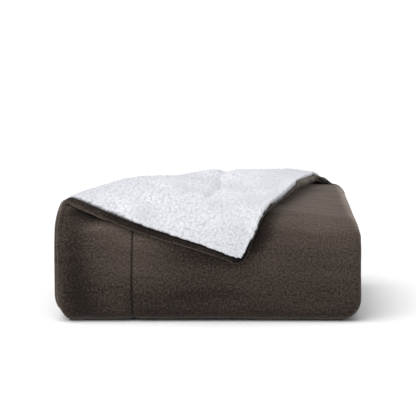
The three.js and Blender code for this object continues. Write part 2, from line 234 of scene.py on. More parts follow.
@dataclass(frozen=True)
class TurnedCorner:
    """The free corner of the outer panel, turned over a slanting fold in a soft roll."""

    pitch: float = 9.0
    left: tuple[float, float] = (-213.0, -34.0)
    right: tuple[float, float] = (204.0, 235.0)
    corner: tuple[float, float] = (-213.0, 235.0)
    tip: tuple[float, float] = (50.0, -115.5)
    rest: float = 13.0
    settle: float = 55.0
    right_settle: float = 8.0
    slack_reach: tuple[float, float] = (30.0, 70.0)
    slack_part: tuple[float, float] = (0.1, 0.4)
    right_part: tuple[float, float] = (0.62, 0.9)
    end_bow: float = 28.5
    side_bow: float = 25.1
    side_skew: float = 0.95
    least_radius: float = 5.0
    crown_lean: float = 13.7
    crown_growth: float = 0.6
    crown_reach: float = 75.0
    roll_parts: tuple[float, ...] = (0.0, 0.15, 0.38, 0.55, 0.8, 0.88, 0.94)
    roll_radii: tuple[float, ...] = (5.0, 5.0, 9.3, 12.7, 9.2, 8.2, 5.0)

    @property
    def length(self) -> float:
        """Length of the fold."""
        return math.dist(self.left, self.right)

    @property
    def heading(self) -> tuple[float, float]:
        """Unit vector along the fold, from left to right."""
        return (self.right[0] - self.left[0]) / self.length, (self.right[1] - self.left[1]) / self.length

    def own_frame(self, x: Array, w: Array) -> tuple[Array, Array]:
        """Turns a point of the opened panel into the fold's own frame.

        Args:
            x: place along the bundle.
            w: distance behind the start of the front fold.

        Returns:
            The distance along the fold from its left end, and the one out from it towards the corner.
        """
        east, north = self.heading
        aside, back = x - self.left[0], w - self.left[1]
        return aside * east + back * north, back * east - aside * north

    def roll_radius(self, along: Array) -> Array:
        """Radius of the roll at a distance along the fold, eased through its table."""
        return eased(along / self.length, self.roll_parts, self.roll_radii)

    def fold(self, x: Array, w: Array, height: Array) -> tuple[Array, Array, Array]:
        """Turns the corner over: a half circle of the roll's radius, then a sheet that settles flat.

        Past the roll the cloth is stretched and sheared a little, so that its corner comes to the tip, and
        both of its edges bow outwards by a sine. It sinks from the roll's height to its rest by a bell
        curve, and near the fold's right end the roll leans to the right.

        Args:
            x: place along the bundle.
            w: distance behind the start of the front fold.
            height: height above the middle of the cloth.

        Returns:
            x, w and the level of the turned point.
        """
        east, north = self.heading
        along, out = self.own_frame(x, w)
        corner_along, corner_out = self.own_frame(*self.corner)
        tip_along, tip_out = self.own_frame(*self.tip)
        corner_radius = float(self.roll_radius(np.array(corner_along)))
        free = corner_out - math.pi * corner_radius
        stretch = (-tip_out - math.pi * (corner_radius - self.least_radius)) / free
        shear = (tip_along - corner_along) / free

        part = along / self.length
        at_right = smooth(*self.right_part, part)
        radius = self.roll_radius(along)
        past = np.maximum(out - math.pi * radius, 0.0)
        angle = np.clip(out / radius, 0.0, math.pi)
        risen = np.sin(angle / 2) ** self.crown_growth
        lean = self.crown_lean * at_right * risen * (1 - smooth(0.0, self.crown_reach, past))

        low, high = self.slack_reach
        caught = low + (high - low) * smooth(*self.slack_part, part)
        slack = math.pi * (radius - self.least_radius) * smooth(0.0, 1.0, past / caught)
        reach = self.settle + (self.right_settle - self.settle) * at_right
        lifted = np.exp(-((stretch * past / reach) ** 2))
        laid = np.minimum(past / free, 1.0)
        end_side = np.clip((along - corner_along) / (self.length - corner_along), 0.0, 1.0)
        bow = self.end_bow * end_side * np.sin(math.pi * laid)
        long_side = np.clip(1.0 - along / corner_along, 0.0, 1.0)
        swell = self.side_bow * long_side * np.sin(math.pi * laid**self.side_skew)
        swell = swell / math.hypot(tip_along, tip_out)

        rolled = past <= 0.0
        new_along = along + lean + np.where(rolled, 0.0, shear * past + bow + swell * tip_out)
        new_out = np.where(
            rolled, (radius - height) * np.sin(angle), -stretch * past - slack - swell * tip_along
        )
        level = self.pitch + np.where(
            rolled,
            radius - (radius - height) * np.cos(angle),
            self.rest + (2 * radius - self.rest) * lifted - height,
        )
        flat = out <= 0.0
        return (
            np.where(flat, x, self.left[0] + new_along * east - new_out * north),
            np.where(flat, w, self.left[1] + new_along * north + new_out * east),
            np.where(flat, self.pitch + height, level),
        )


class Bend(Enum):
    """Which way a bend of the path turns, seen from the outer panel."""

    NONE = 0
    OUTER_OUTSIDE = 1
    OUTER_INSIDE = -1


@dataclass(frozen=True)
class Run:
    """A straight run of the strip and the bend after it."""

    length: float
    radius: float = 0.0
    bend: Bend = Bend.NONE
    cloth_radius: float = 0.0


@dataclass(frozen=True)
class LengthFold:
    """The strip of three panels, doubled and turned over in three along its length."""

    strip: float = 27.0
    front_y: float = 81.0
    runs: tuple[Run, ...] = (
        Run(235.0, 67.5, Bend.OUTER_OUTSIDE, 76.5),
        Run(180.0, 40.5, Bend.OUTER_OUTSIDE),
        Run(172.0, 13.5, Bend.OUTER_OUTSIDE),
        Run(172.0, 13.5, Bend.OUTER_INSIDE),
        Run(180.0, 40.5, Bend.OUTER_INSIDE),
        Run(225.0),
    )

    def pieces(self) -> Array:
        """The path's pieces in order.

        Returns:
            A row for each: first place on the cloth, y, z, heading, length, radius and turn.
        """
        rows = []
        v, y, z = 0.0, self.front_y + self.runs[0].length, 5.5 * self.strip
        heading = math.pi
        for run in self.runs:
            turn = run.bend.value
            rows.append((v, y, z, heading, run.length, 0.0, 0.0))
            v += run.length
            y += math.cos(heading) * run.length
            if turn == 0:
                continue
            length = math.pi * (run.cloth_radius or run.radius)
            rows.append((v, y, z, heading, length, run.radius, float(turn)))
            v += length
            z += 2 * run.radius * math.cos(heading) * turn
            heading += math.pi * turn
        return np.array(rows)

    @property
    def length(self) -> float:
        """The blanket's flat length."""
        last = self.pieces()[-1]
        return float(last[0] + last[4])

    def fold(self, v: Array, level: Array) -> tuple[Array, Array]:
        """Folds the strip: straight runs joined by half circles, seen from the end.

        Args:
            v: place along the flat cloth.
            level: level above the strip's middle layer.

        Returns:
            Depth y and height z.
        """
        table = self.pieces()
        piece = np.clip(np.searchsorted(table[:, 0], v, side="left") - 1, 0, len(table) - 1)
        start, y, z, heading, length, radius, turn = (table[piece, k] for k in range(7))
        gone = v - start
        facing = heading + math.pi * gone * turn / length
        reach = turn * (radius + level * turn)
        axis_z = z + np.cos(heading) * radius * turn
        straight = turn == 0
        return (
            np.where(straight, y + np.cos(heading) * gone, y + reach * np.sin(facing)),
            np.where(straight, z - np.cos(heading) * level, axis_z - reach * np.cos(facing)),
        )


@dataclass(frozen=True)
class EndShape:
    """How far an end reaches at each height, as shares of half the length."""

    fullest: float
    foot: float
    foot_height: float
    shoulder: float
    shoulder_from: float
    shoulder_to: float

    def reach(self, z: Array) -> Array:
        """The full reach, less a square-law foot and a smooth-step shoulder."""
        foot = self.foot * np.maximum(1 - z / self.foot_height, 0.0) ** 2
        return self.fullest - foot - self.shoulder * smooth(self.shoulder_from, self.shoulder_to, z)


@dataclass(frozen=True)
class Settling:
    """How the soft pile of layers has settled."""

    stack: float = 162.0
    front_y: float = 81.0
    front_flatness: float = 0.72
    upper_fullness: float = 2.2
    lower_fullness: float = 5.0
    columns: tuple[float, ...] = (-208.5, -126.0, -43.5, 39.0, 121.5, 204.0)
    height: tuple[float, ...] = (164.0, 166.0, 166.0, 166.0, 165.5, 157.0)
    bulge: tuple[float, ...] = (11.0, 15.0, 5.0, 0.0, 0.0, 0.0)
    back_sag: tuple[float, ...] = (30.0, 16.0, 0.0, 0.0, 0.0, 0.0)
    front_sag: tuple[float, ...] = (0.0, 0.0, 4.0, 10.0, 13.0, 10.0)
    bulge_y: tuple[float, float] = (10.0, 130.0)
    back_sag_y: tuple[float, float] = (90.0, 280.0)
    front_sag_y: tuple[float, float] = (50.0, 215.0)
    end_x: tuple[float, float] = (40.0, 200.0)
    left: EndShape = EndShape(1.0, 0.07, 40.0, 0.05, 130.0, 200.0)
    right: EndShape = EndShape(1.005, 0.065, 35.0, 0.079, 118.0, 172.0)

    def pile_height(self, x: Array, y: Array) -> Array:
        """The pile's height over a place: four smooth curves across it, three of them eased in with depth."""
        return (
            flowing(x, self.columns, self.height)
            + flowing(x, self.columns, self.bulge) * smooth(*self.bulge_y, y)
            - flowing(x, self.columns, self.back_sag) * smooth(*self.back_sag_y, y)
            - flowing(x, self.columns, self.front_sag) * (1 - smooth(*self.front_sag_y, y))
        )

    def settle(self, x: Array, y: Array, z: Array) -> tuple[Array, Array, Array]:
        """Moves the neat fold to where the soft one lies.

        In front of the front fold's axis the round outline becomes a flattened superellipse. Then the
        height is scaled to the pile's height there, and both ends draw in by their reach.

        Args:
            x: place along the bundle.
            y: depth.
            z: height.

        Returns:
            The settled x, y and z.
        """
        middle = self.stack / 2
        ahead = np.maximum(self.front_y - y, 0.0)
        angle = np.arctan2(ahead, z - middle)
        power = np.where(angle > math.pi / 2, self.lower_fullness, self.upper_fullness)
        full = (np.abs(np.sin(angle)) ** power + np.abs(np.cos(angle)) ** power) ** (-1.0 / power)
        z = np.where(ahead > 0, middle + (z - middle) * full, z)
        y = np.where(ahead > 0, self.front_y - ahead * full * self.front_flatness, y)
        z = z * self.pile_height(x, y) / self.stack
        reach = np.where(x < 0, self.left.reach(z), self.right.reach(z))
        return x * (1 + (reach - 1) * smooth(*self.end_x, np.abs(x))), y, z


@dataclass(frozen=True)
class FoldedCloth:
    """The whole blanket as folded: from a place on the flat cloth to a place in the bundle."""

    thickness: float = 8.0
    plush: float = 2.0
    sewn_gap: float = 0.5
    hem_width: float = 8.0
    seam_gap: float = 3.7
    white_inset: float = 6.0
    corner_round: float = 16.0
    edge_fade: float = 30.0
    gather: float = 14.0
    side_seam_places: tuple[float, ...] = (0.0, 140.0, 250.0)
    side_seam_insets: tuple[float, ...] = (82.0, 84.0, 107.0)
    end_seam: float = 80.0
    origin: tuple[float, float, float] = (0.5425, 170.4575, 0.4501)
    across: AcrossFold = AcrossFold()
    corner: TurnedCorner = TurnedCorner()
    lengthwise: LengthFold = LengthFold()
    settling: Settling = Settling()

    @property
    def width(self) -> float:
        """Flat width."""
        return self.across.width

    @property
    def length(self) -> float:
        """Flat length."""
        return self.lengthwise.length

    @property
    def top(self) -> float:
        """Height of the plush surface above the middle of the cloth."""
        return self.thickness / 2

    def rounded(self, u: Array, v: Array) -> tuple[Array, Array]:
        """Rounds the blanket's corners: a point in a corner's square moves onto its quarter disc.

        Args:
            u: place across the flat cloth.
            v: place along it.

        Returns:
            The moved u and v.
        """
        gap_u = np.maximum(self.corner_round - np.minimum(u, self.width - u), 0.0)
        gap_v = np.maximum(self.corner_round - np.minimum(v, self.length - v), 0.0)
        both = (gap_u > 0) & (gap_v > 0)
        share = np.where(both, 1 - np.maximum(gap_u, gap_v) / np.maximum(np.hypot(gap_u, gap_v), 1e-9), 0.0)
        return (
            u + gap_u * share * np.sign(self.width / 2 - u),
            v + gap_v * share * np.sign(self.length / 2 - v),
        )

    def drawn_in(self, u: Array, v: Array, inset: Array | float) -> tuple[Array, Array]:
        """Draws the cloth's edge in, in a straight line down to nothing at some way from the edge.

        Args:
            u: place across the flat cloth.
            v: place along it.
            inset: how far the edge itself moves.

        Returns:
            The moved u and v.
        """
        near_u = np.maximum(1 - u / self.edge_fade, 0.0)
        far_u = np.maximum(1 - (self.width - u) / self.edge_fade, 0.0)
        near_v = np.maximum(1 - v / self.edge_fade, 0.0)
        far_v = np.maximum(1 - (self.length - v) / self.edge_fade, 0.0)
        return u + inset * (near_u - far_u), v + inset * (near_v - far_v)

    def turned(self, u: Array, v: Array) -> Array:
        """How far out from the corner's fold a place lies.

        Args:
            u: place across the flat cloth.
            v: place along it.

        Returns:
            The distance in half turns of the roll, and 0 off the corner.
        """
        top_run = self.lengthwise.runs[0].length
        x, _ = self.across.fold(u, 0.0 * u)
        along, out = self.corner.own_frame(x, top_run - v)
        share = out / (math.pi * self.corner.roll_radius(along))
        return np.where(u > self.across.outer_u, np.maximum(share, 0.0), 0.0)

    def place(self, u: Array, v: Array, height: Array | float) -> Array:
        """Folds points of the flat blanket.

        The folds come one after the other: across the width, the turned corner, along the length, and
        the settling of the pile.

        Args:
            u: place across the flat cloth.
            v: place along it.
            height: height above its middle, positive towards the plush.

        Returns:
            Points in metres, with x, y, z in the last axis.
        """
        u, v = self.rounded(u, v)
        height = height + 0.0 * u
        x, level = self.across.fold(u, height)
        top_run = self.lengthwise.runs[0].length
        corner_x, corner_w, corner_level = self.corner.fold(x, top_run - v, height)
        outer = u > self.across.outer_u
        x = np.where(outer, corner_x, x)
        level = np.where(outer, corner_level, level)
        v = np.where(outer, top_run - corner_w, v)
        y, z = self.lengthwise.fold(v, level)
        x, y, z = self.settling.settle(x, y, z)
        return np.stack([x, y, z], axis=-1) * MM - np.array(self.origin) * MM

    def wander(self, along: Array, seed: int) -> Array:
        """How far a hand-guided sewn line strays: two soft noises along it, 75 mm and 11 mm long."""
        return 1.8 * unevenness(along / 75.0, 0.5 + 0.0 * along, seed) + 0.4 * unevenness(
            along / 11.0, 0.5 + 0.0 * along, seed + 1
        )

    def gathered(self, u: Array, v: Array) -> tuple[Array, Array]:
        """Moves columns and rows aside with the sewn lines that they follow, fading by a bell curve.

        Args:
            u: place across the flat cloth.
            v: place along it.

        Returns:
            The moved u and v.
        """
        seam_u, seam_v = self.width - self.side_seam_insets[-1], self.end_seam
        near_u = np.exp(-(((u - seam_u) / self.gather) ** 2))
        near_v = np.exp(-(((v - seam_v) / self.gather) ** 2))
        return u - self.wander(v, 5) * near_u, v + self.wander(u, 7) * near_v

    def seam_distance(self, u: Array, v: Array) -> Array:
        """Distance to the border seam, a rectangle sewn a little unevenly inside the edge.

        Args:
            u: place across the flat cloth.
            v: place along it.

        Returns:
            The distance, on either side of the seam.
        """
        inset = eased(v, self.side_seam_places, self.side_seam_insets)
        over_u = np.abs(u - self.width / 2) - self.width / 2 + inset + self.wander(v, 5)
        over_v = np.abs(v - self.length / 2) - self.length / 2 + self.end_seam + self.wander(u, 7)
        outside = np.hypot(np.maximum(over_u, 0.0), np.maximum(over_v, 0.0))
        return np.abs(outside + np.minimum(np.maximum(over_u, over_v), 0.0))


# Meshes


@dataclass(frozen=True)
class Stretch:
    """A stretch of the flat cloth with evenly spaced rows or columns."""

    end: float
    step: float


def spaced(stretches: list[Stretch], fine_at: tuple[float, ...] = ()) -> Array:
    """Rows or columns of a mesh: even steps on each stretch, closer together about a sewn line.

    Args:
        stretches: the stretches in order, the first from 0.
        fine_at: places that get extra rows, from 0.7 to 7 mm to both sides.

    Returns:
        The places, rising.
    """
    start, parts = 0.0, []
    for stretch in stretches:
        count = max(round((stretch.end - start) / stretch.step), 1)
        parts.append(np.linspace(start, stretch.end, count, endpoint=False))
        start = stretch.end
    places = np.concatenate([*parts, [start]])
    aside = np.array([0.7, 1.5, 2.6, 4.2, 6.5])
    for line in fine_at:
        fine = line + np.concatenate([-aside[::-1], [0.0], aside])
        kept = places[np.min(np.abs(places[:, None] - fine[None, :]), axis=1) > 1.2]
        places = np.sort(np.concatenate([kept, fine]))
    return places


def grid_faces(rows: int, columns: int, start: int, flip: bool) -> Array:
    """Squares between neighbouring points of a grid.

    Args:
        rows: number of rows of points.
        columns: number of columns of points.
        start: index of the grid's first point.
        flip: turns the squares to face the other way.

    Returns:
        Four point indices for each square.
    """
    index = start + np.arange(rows * columns).reshape(rows, columns)
    corners = [index[:-1, :-1], index[:-1, 1:], index[1:, 1:], index[1:, :-1]]
    faces = np.stack([c.ravel() for c in corners], axis=1)
    return faces[:, ::-1] if flip else faces


def border_of(rows: int, columns: int) -> Array:
    """Indices of a grid's border points in order round it."""
    index = np.arange(rows * columns).reshape(rows, columns)
    return np.concatenate([index[0, :-1], index[:-1, -1], index[-1, :0:-1], index[:0:-1, 0]])


def make_object(name: str, points: Array, faces: Array, flat_places: Array, shade: Array) -> bpy.types.Object:
    """Puts points and faces into a smooth mesh, with the flat cloth as its UV map.

    Args:
        name: the piece's name.
        points: one row of x, y, z for each point, in metres.
        faces: four point indices for each face.
        flat_places: u and v on the flat cloth for each point, in metres.
        shade: one number for each point, kept as the attribute "relief".

    Returns:
        The object, at the origin.
    """
    mesh = bpy.data.meshes.new(name)
    mesh.vertices.add(len(points))
    mesh.vertices.foreach_set("co", points.astype(np.float32).ravel())
    mesh.loops.add(faces.size)
    mesh.loops.foreach_set("vertex_index", faces.astype(np.int32).ravel())
    mesh.polygons.add(len(faces))
    mesh.polygons.foreach_set("loop_start", np.arange(0, faces.size, 4, dtype=np.int32))
    mesh.polygons.foreach_set("use_smooth", np.ones(len(faces), dtype=bool))
    layer = mesh.uv_layers.new(name="flat_cloth")
    layer.data.foreach_set("uv", flat_places[faces.ravel()].astype(np.float32).ravel())
    relief = mesh.attributes.new("relief", "FLOAT", "POINT")
    relief.data.foreach_set("value", shade.astype(np.float32))
    mesh.update(calc_edges=True)
    mesh.validate()
    piece = bpy.data.objects.new(name, mesh)
    bpy.context.scene.collection.objects.link(piece)
    return piece


@dataclass
class PanelMesh:
    """Collects the two faces of a panel and the rings round its edge into one closed mesh."""

    cloth: FoldedCloth
    columns: Array
    rows: Array
    points: list[Array] = field(default_factory=list)
    flat_places: list[Array] = field(default_factory=list)
    shades: list[Array] = field(default_factory=list)
    faces: list[Array] = field(default_factory=list)

    def flat(self, inset: Array | float = 0.0) -> tuple[Array, Array]:
        """The grid on the flat cloth, with its edge drawn in."""
        u, v = self.cloth.gathered(*np.meshgrid(self.columns, self.rows))
        return self.cloth.drawn_in(u, v, inset)

    def count(self) -> int:
        """Points so far."""
        return sum(len(p) for p in self.points)

    def add_points(
        self, u: Array, v: Array, height: Array | float, shade: Array | float,
        unrolled: tuple[Array, Array] | None = None,
    ) -> int:
        """Folds points and keeps them.

        Args:
            u: places across the flat cloth.
            v: places along it.
            height: heights above the middle of the cloth.
            shade: the relief attribute.
            unrolled: places for the UV map, where the cloth is turned round an edge.

        Returns:
            The index of the first new point.
        """
        start = self.count()
        self.points.append(self.cloth.place(u, v, height).reshape(-1, 3))
        map_u, map_v = unrolled or (u, v)
        self.flat_places.append(np.stack([map_u.ravel(), map_v.ravel()], axis=1) * MM)
        self.shades.append((shade + 0.0 * u).ravel())
        return start

    def add_face(self, u: Array, v: Array, height: Array | float, shade: Array | float, flip: bool) -> int:
        """Adds a whole face of the panel.

        Args:
            u: places across the flat cloth.
            v: places along it.
            height: heights above the middle of the cloth.
            shade: the relief attribute.
            flip: turns the face towards the white side.

        Returns:
            The index of its first point.
        """
        start = self.add_points(u, v, height, shade)
        self.faces.append(grid_faces(len(self.rows), len(self.columns), start, flip))
        return start

    def join(self, first: Array, second: Array) -> None:
        """Joins two closed rings of points, given as indices, with a band of squares."""
        after, beyond = np.roll(first, -1), np.roll(second, -1)
        self.faces.append(np.stack([first, second, beyond, after], axis=1))

    def build(self, name: str) -> bpy.types.Object:
        """Makes the object."""
        return make_object(
            name,
            np.concatenate(self.points),
            np.concatenate(self.faces),
            np.concatenate(self.flat_places),
            np.concatenate(self.shades),
        )


# Finishes


def linear(colour: str) -> tuple[float, float, float, float]:
    """Turns an sRGB colour linear: c / 12.92 up to 0.04045, and ((c + 0.055) / 1.055)^2.4 above.

    Args:
        colour: the colour as "#rrggbb".

    Returns:
        Linear red, green and blue, and an alpha of 1.
    """
    shares = [int(colour[k:k + 2], 16) / 255 for k in (1, 3, 5)]
    red, green, blue = (s / 12.92 if s <= 0.04045 else ((s + 0.055) / 1.055) ** 2.4 for s in shares)
    return red, green, blue, 1.0


def add_node(
    tree: bpy.types.NodeTree, kind: str, settings: dict[str, object], links: dict[str, bpy.types.NodeSocket]
) -> bpy.types.Node:
    """Adds a node to a tree.

    Args:
        tree: the material's or world's node tree.
        kind: the node's type name.
        settings: attributes by name, and socket values by their input names.
        links: output sockets by the names of the inputs that they go to.

    Returns:
        The node.
    """
    node = tree.nodes.new(kind)
    for name, value in settings.items():
        if hasattr(node, name) and name not in node.inputs:
            setattr(node, name, value)
    for name, value in settings.items():
        if name in node.inputs:
            node.inputs[name].default_value = value
    for name, source in links.items():
        tree.links.new(source, node.inputs[name])
    return node


def add_ramp(tree: bpy.types.NodeTree, source: bpy.types.NodeSocket, stops: Stops) -> bpy.types.NodeSocket:
    """Adds a colour ramp.

    Args:
        tree: the material's node tree.
        source: the output that it reads.
        stops: places from 0 to 1, rising, each with its sRGB colour.

    Returns:
        The ramp's colour.
    """
    ramp = add_node(tree, "ShaderNodeValToRGB", {}, {"Fac": source})
    elements = ramp.color_ramp.elements
    for element, (place, colour) in ((elements[0], stops[0]), (elements[1], stops[-1])):
        element.position = place
        element.color = linear(colour)
    for place, colour in stops[1:-1]:
        elements.new(place).color = linear(colour)
    return ramp.outputs["Color"]


def add_sum(
    tree: bpy.types.NodeTree, value: bpy.types.NodeSocket, factor: float, added: bpy.types.NodeSocket
) -> bpy.types.NodeSocket:
    """Adds a node that works out value times factor plus added.

    Args:
        tree: the material's node tree.
        value: the output that is multiplied.
        factor: what it is multiplied by.
        added: the output that is added.

    Returns:
        The sum.
    """
    node = add_node(tree, "ShaderNodeMath", {"operation": "MULTIPLY_ADD"}, {})
    tree.links.new(value, node.inputs[0])
    node.inputs[1].default_value = factor
    tree.links.new(added, node.inputs[2])
    return node.outputs["Value"]


def new_material(name: str) -> bpy.types.Material:
    """Makes an empty material.

    Args:
        name: what the material really is.

    Returns:
        The material, with a node tree that holds nothing yet.
    """
    material = bpy.data.materials.new(name)
    material.use_nodes = True
    material.node_tree.nodes.clear()
    return material


@dataclass(frozen=True)
class BrushedPlush:
    """Short velvety polyester plush. Its nap leans this way and that, so broad soft patches and
    streaks across the blanket look darker or lighter, and the pile's tips catch light at a low angle.
    The stops run from near black, painted shade deep in a crease, through the nap's dark and light tones,
    to a pale tone that the lightest nap and the painted highlights reach."""

    stops: Stops = ((0.18, "#0d0a09"), (0.39, "#27201c"), (0.64, "#50463f"), (0.95, "#7a6d64"))
    sheen_tint: str = "#cdbfb4"
    patch: float = 85.0
    streak: float = 14.0
    grain: float = 3.0
    # Weight of the nap marks and the painted shade and highlight on the ramp.
    shade_and_tone_weight: float = 0.11

    def material(self) -> bpy.types.Material:
        """Builds the material: nap from three noises on the flat cloth, all with sizes in millimetres.

        Returns:
            The material.
        """
        material = new_material("brushed_polyester_plush")
        tree = material.node_tree
        cloth = add_node(tree, "ShaderNodeUVMap", {"uv_map": "flat_cloth"}, {})
        flat = {"Vector": cloth.outputs["UV"]}
        broad = add_node(tree, "ShaderNodeMapping", {"Scale": (0.45, 1.0, 1.0)}, flat)
        streaked = add_node(tree, "ShaderNodeMapping", {"Scale": (0.22, 1.0, 1.0)}, flat)
        patches = add_node(
            tree, "ShaderNodeTexNoise",
            {"Scale": 1000 / self.patch, "Detail": 2.0, "Roughness": 0.5, "Distortion": 0.6},
            {"Vector": broad.outputs["Vector"]},
        )
        streaks = add_node(
            tree, "ShaderNodeTexNoise",
            {"Scale": 1000 / self.streak, "Detail": 3.0, "Roughness": 0.55, "Distortion": 0.3},
            {"Vector": streaked.outputs["Vector"]},
        )
        grain = add_node(
            tree, "ShaderNodeTexNoise",
            {"Scale": 1000 / self.grain, "Detail": 3.0, "Roughness": 0.65}, flat,
        )
        coarse = add_node(
            tree, "ShaderNodeMix",
            {"data_type": "FLOAT", "Factor": 0.42},
            {"A": patches.outputs["Fac"], "B": streaks.outputs["Fac"]},
        )
        nap = add_node(
            tree, "ShaderNodeMix",
            {"data_type": "FLOAT", "Factor": 0.7},
            {"A": coarse.outputs["Result"], "B": grain.outputs["Fac"]},
        )
        # The relief attribute holds the nap marks and the painted shade and highlight, and moves the noise's
        # place on the ramp.
        relief = add_node(tree, "ShaderNodeAttribute", {"attribute_name": "relief"}, {})
        shaded = add_sum(tree, relief.outputs["Fac"], self.shade_and_tone_weight, nap.outputs["Result"])
        colour = add_ramp(tree, shaded, self.stops)
        bump = add_node(
            tree, "ShaderNodeBump", {"Strength": 0.6, "Distance": 0.0018}, {"Height": grain.outputs["Fac"]}
        )
        lying = add_node(
            tree, "ShaderNodeBump", {"Strength": 0.5, "Distance": 0.0015},
            {"Height": streaks.outputs["Fac"], "Normal": bump.outputs["Normal"]},
        )
        shader = add_node(
            tree, "ShaderNodeBsdfPrincipled",
            {
                "Roughness": 0.92, "IOR": 1.45, "Specular IOR Level": 0.15, "Sheen Weight": 0.68,
                "Sheen Roughness": 0.38, "Sheen Tint": linear(self.sheen_tint),
            },
            {"Base Color": colour, "Normal": lying.outputs["Normal"]},
        )
        add_node(tree, "ShaderNodeOutputMaterial", {}, {"Surface": shader.outputs["BSDF"]})
        return material


@dataclass(frozen=True)
class CurlySherpa:
    """Sheared curly polyester pile. Its nubs are in the mesh, and here the creases between them are painted a
    touch greyer as shade, the curls of single fibres roughen them, its edges get a painted highlight, and
    where it ends at the hem it is painted dark brown as the shadow in the crease there. The stops are that
    painted shadow at the hem, painted shade in a crease, a nub's tip and the painted highlight at the edge."""

    stops: Stops = ((0.1, "#35302c"), (0.38, "#aeafb5"), (0.78, "#cbccd1"), (1.0, "#eeeff2"))
    curl: float = 2.2
    mottle: float = 0.4

    def material(self) -> bpy.types.Material:
        """Builds the material: colour by the mesh's relief, and a curl noise as bump.

        Returns:
            The material.
        """
        material = new_material("curly_polyester_sherpa")
        tree = material.node_tree
        cloth = add_node(tree, "ShaderNodeUVMap", {"uv_map": "flat_cloth"}, {})
        # The relief attribute holds the pile's painted shade and highlight; on the panel it is even.
        relief = add_node(tree, "ShaderNodeAttribute", {"attribute_name": "relief"}, {})
        curls = add_node(
            tree, "ShaderNodeTexNoise",
            {"Scale": 1000 / self.curl, "Detail": 2.0, "Roughness": 0.6, "Distortion": 1.5},
            {"Vector": cloth.outputs["UV"]},
        )
        mottled = add_sum(tree, curls.outputs["Fac"], self.mottle, relief.outputs["Fac"])
        colour = add_ramp(tree, mottled, self.stops)
        bump = add_node(
            tree, "ShaderNodeBump", {"Strength": 0.7, "Distance": 0.0012}, {"Height": curls.outputs["Fac"]}
        )
        shader = add_node(
            tree, "ShaderNodeBsdfPrincipled",
            {
                "Roughness": 1.0, "IOR": 1.45, "Specular IOR Level": 0.1, "Sheen Weight": 0.25,
                "Sheen Roughness": 0.5,
            },
            {"Base Color": colour, "Normal": bump.outputs["Normal"]},
        )
        add_node(tree, "ShaderNodeOutputMaterial", {}, {"Surface": shader.outputs["BSDF"]})
        return material


@dataclass(frozen=True)
class PaintedFloor:
    """Matt white painted board, even and without grain."""

    colour: str = "#f4f4f4"

    def material(self) -> bpy.types.Material:
        """Builds the material.

        Returns:
            The material.
        """
        material = new_material("matt_white_board")
        tree = material.node_tree
        shader = add_node(
            tree, "ShaderNodeBsdfPrincipled",
            {"Base Color": linear(self.colour), "Roughness": 1.0, "Specular IOR Level": 0.0}, {},
        )
        add_node(tree, "ShaderNodeOutputMaterial", {}, {"Surface": shader.outputs["BSDF"]})
        return material


# The blanket's panels


@dataclass(frozen=True)
class NapAndShadeMark:
    """A soft bell-shaped patch that darkens or lightens the plush. Some are nap tone that varies at random,
    and some are painted shade and painted highlight where light falls.
    """

    u: float
    v: float
    half_width: float
    half_length: float
    tone_and_shade: float


